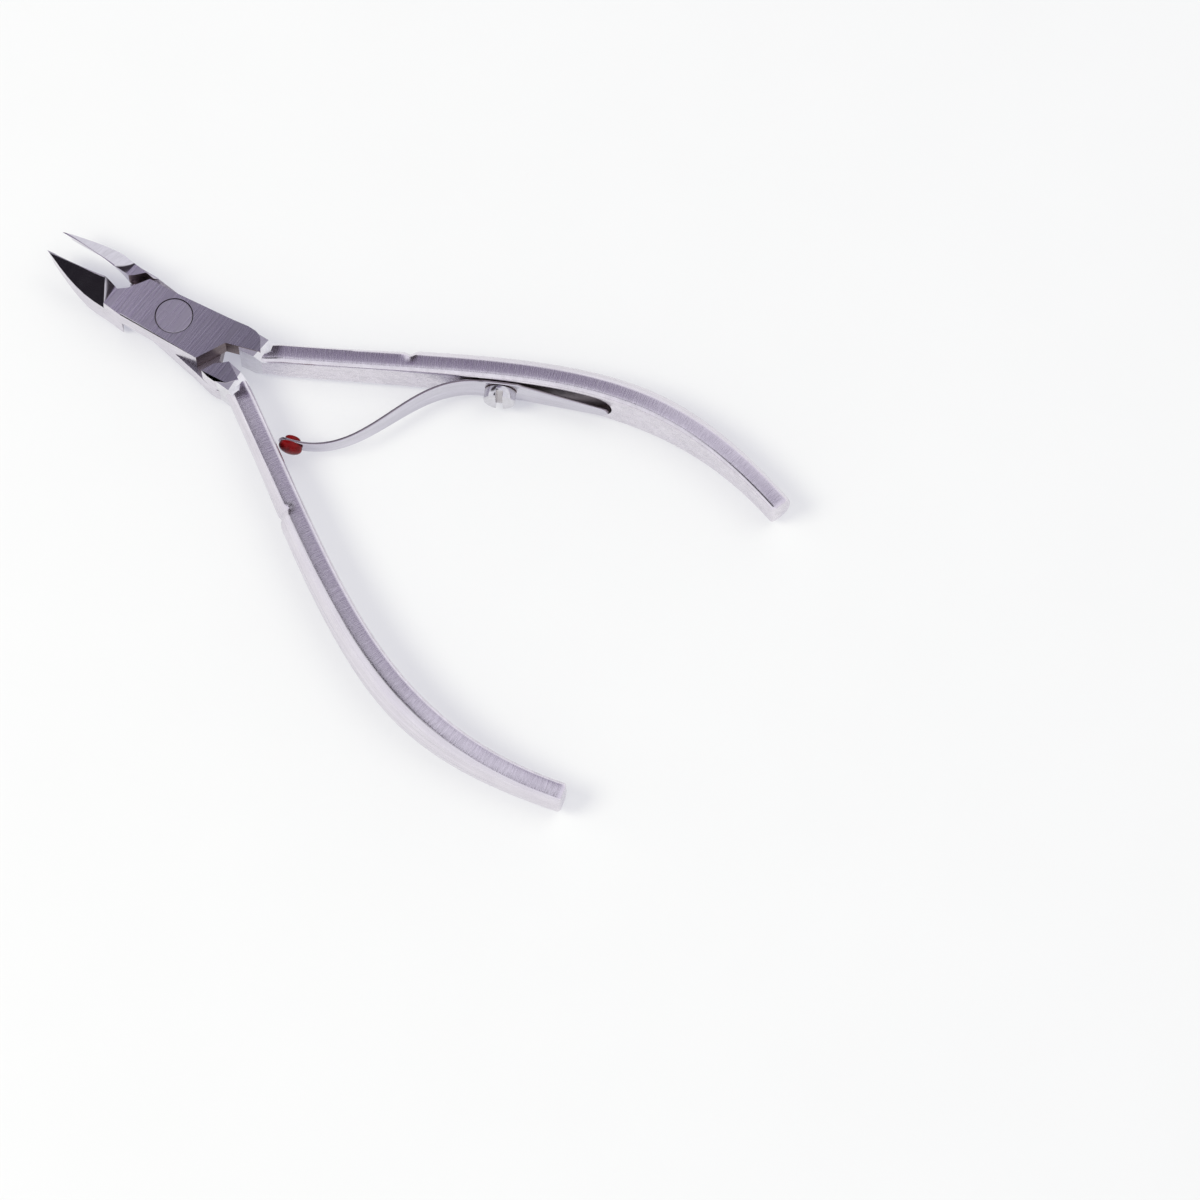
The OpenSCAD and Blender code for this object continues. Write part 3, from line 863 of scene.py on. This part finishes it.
def make_button():
    """One moulding: a domed head, a stem through the leaf and a smaller rim behind it."""
    t = LEAF_T / 2 + 0.02
    r, rear = BUTTON_D / 2, BUTTON_REAR_D / 2
    low = -t - BUTTON_REAR_H
    profile = [(0, low)]
    for k in range(9):
        a = math.radians(90 - 90 * k / 8)
        profile.append((rear - BUTTON_ROUND * (1 - math.cos(a)), low + BUTTON_ROUND * (1 - math.sin(a))))
    profile += [(rear, -t - 0.08), (rear - 0.08, -t), (STEM_R, -t), (STEM_R, t), (r - 0.1, t), (r, t + 0.1)]
    for k in range(17):
        a = math.radians(90 * k / 16)
        profile.append((r * math.cos(a), t + BUTTON_EDGE + (BUTTON_H - BUTTON_EDGE) * math.sin(a)))
    profile[-1] = (0, t + BUTTON_H)
    button = lathe("button_body", profile, RED, 72)
    c = bezier(ARM_CURVE, BUTTON_AT)
    along = tangent(ARM_CURVE, BUTTON_AT)
    turn = Matrix.Rotation(math.atan2(along.y, along.x), 4, "Z") @ Matrix.Rotation(math.pi / 2, 4, "X")
    move(button, spring_frame() @ Matrix.Translation(c.to_3d() * MM) @ turn)
    shade(button, 50)
    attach(button, "tip")
    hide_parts("tip_button")


def make_screw():
    """Slotted screw: a chamfered head over the leaf's eye, on a shoulder in the pocket's floor."""
    under = LEAF_T / 2 + SCREW_PLAY - EYE_Y
    r = SCREW_HEAD_D / 2
    top = under + SCREW_HEAD_H
    profile = [(0, -SHANK_L), (SHANK_R, -SHANK_L), (SHANK_R, -POCKET_DEPTH), (SHOULDER_R, -POCKET_DEPTH),
               (SHOULDER_R, under), (r - 0.12, under), (r, under + 0.12), (r, top - 0.35),
               (r - 0.08, top - 0.16), (r - 0.25, top - 0.05), (r - 0.5, top), (0, top)]
    screw = lathe("screw_body", profile, SCREW, 96)
    wide, deep = SCREW_SLOT
    across = [(-wide / 2, -4), (wide / 2, -4), (wide / 2, 4), (-wide / 2, 4)]
    slot = prism("slot", across, top - deep, top + CLEAR, SCREW, SCREW)
    combine(screw, slot, "DIFFERENCE")
    clean(screw)
    round_edges(screw, 0.06, 40)
    move(screw, spring_frame() @ Matrix.Rotation(math.radians(90), 4, "X"))
    shade(screw)
    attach(screw, "spring_half")
    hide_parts("spring_screw")


# ---- studio ----

VIEW_FROM = Vector((0.2426, -0.2244, 0.693))
VIEW_AT = Vector((0.08185, 0.00172, 0.0))
FOCAL = 143.0
LIGHT_AT = Vector((0.03, 0.0, 0.0))

# Cards hung in the tent: direction, half angles of their full and faded parts in degrees, colour
CARDS = [((-0.5, 0.42, 0.76), 11, 27, (0.25, 0.215, 0.31)),
         ((-0.85, 0.3, 0.42), 23, 30, (0.055, 0.045, 0.055)),
         ((-0.37, -0.28, 0.885), 13, 19, (0.02, 0.017, 0.022))]


def make_camera():
    data = bpy.data.cameras.new("camera")
    data.lens = FOCAL
    data.sensor_width = 36
    camera = bpy.data.objects.new("camera", data)
    bpy.context.scene.collection.objects.link(camera)
    camera.location = VIEW_FROM
    camera.rotation_euler = (VIEW_AT - VIEW_FROM).to_track_quat("-Z", "Y").to_euler()
    bpy.context.scene.camera = camera


def make_floor():
    bpy.ops.mesh.primitive_plane_add(size=6, location=(0.05, 0, cad_box[0].z - 0.00002))
    floor = bpy.context.object
    floor.name = "floor"
    floor.data.materials.append(floor_material())


def make_light(name, spot, size, watts, colour):
    data = bpy.data.lights.new(name, "AREA")
    data.shape = "DISK"
    data.size = size
    data.energy = watts
    data.color = colour
    light = bpy.data.objects.new(name, data)
    bpy.context.scene.collection.objects.link(light)
    light.location = spot
    light.rotation_euler = (LIGHT_AT - Vector(spot)).to_track_quat("-Z", "Y").to_euler()
    light.visible_glossy = False


def card(tree, source, towards, inside, outside):
    """How far a direction lies inside a round card of the given half angles, in degrees."""
    facing = add(tree, "ShaderNodeVectorMath", operation="DOT_PRODUCT")
    facing.inputs[1].default_value = Vector(towards).normalized()
    tree.links.new(source, facing.inputs[0])
    faded, full = math.cos(math.radians(outside)), math.cos(math.radians(inside))
    return ranged(tree, facing.outputs["Value"], faded, full, 0, 1)


def make_world():
    """A bright tent with a gray card overhead and two black cards low on the left."""
    world = bpy.data.worlds.new("tent")
    bpy.context.scene.world = world
    world.use_nodes = True
    tree = world.node_tree
    place = add(tree, "ShaderNodeTexCoord")
    source = place.outputs["Generated"]
    split = add(tree, "ShaderNodeSeparateXYZ")
    tree.links.new(source, split.inputs[0])
    ramp = add(tree, "ShaderNodeValToRGB")
    stops = [(0.0, (0.85, 0.85, 0.9)), (0.5, (1.0, 1.0, 1.02)), (0.75, (0.95, 0.95, 0.98)),
             (1.0, (0.9, 0.9, 0.95))]
    while len(ramp.color_ramp.elements) < len(stops):
        ramp.color_ramp.elements.new(0.5)
    for element, (at, colour) in zip(ramp.color_ramp.elements, stops):
        element.position = at
        element.color = (*colour, 1)
    tree.links.new(ranged(tree, split.outputs["Z"], -1, 1, 0, 1), ramp.inputs[0])
    sky = ramp.outputs[0]
    for towards, inside, outside, colour in CARDS:
        sky = mixed(tree, card(tree, source, towards, inside, outside), sky, colour)
    background = tree.nodes["Background"]
    tree.links.new(sky, background.inputs["Color"])
    background.inputs["Strength"].default_value = 1.0


make_camera()
make_world()
make_floor()
make_light("key", (-0.4, -0.6, 0.9), 0.55, 7.5, (1.0, 0.995, 0.985))
make_light("fill", (0.5, 0.5, 1.1), 0.9, 3.0, (0.98, 0.98, 1.0))
bpy.context.scene.view_settings.view_transform = "Standard"

make_half("spring_half", 1)
make_half("plain_half", -1)
make_rivet()
make_leaf()
make_button()
make_screw()
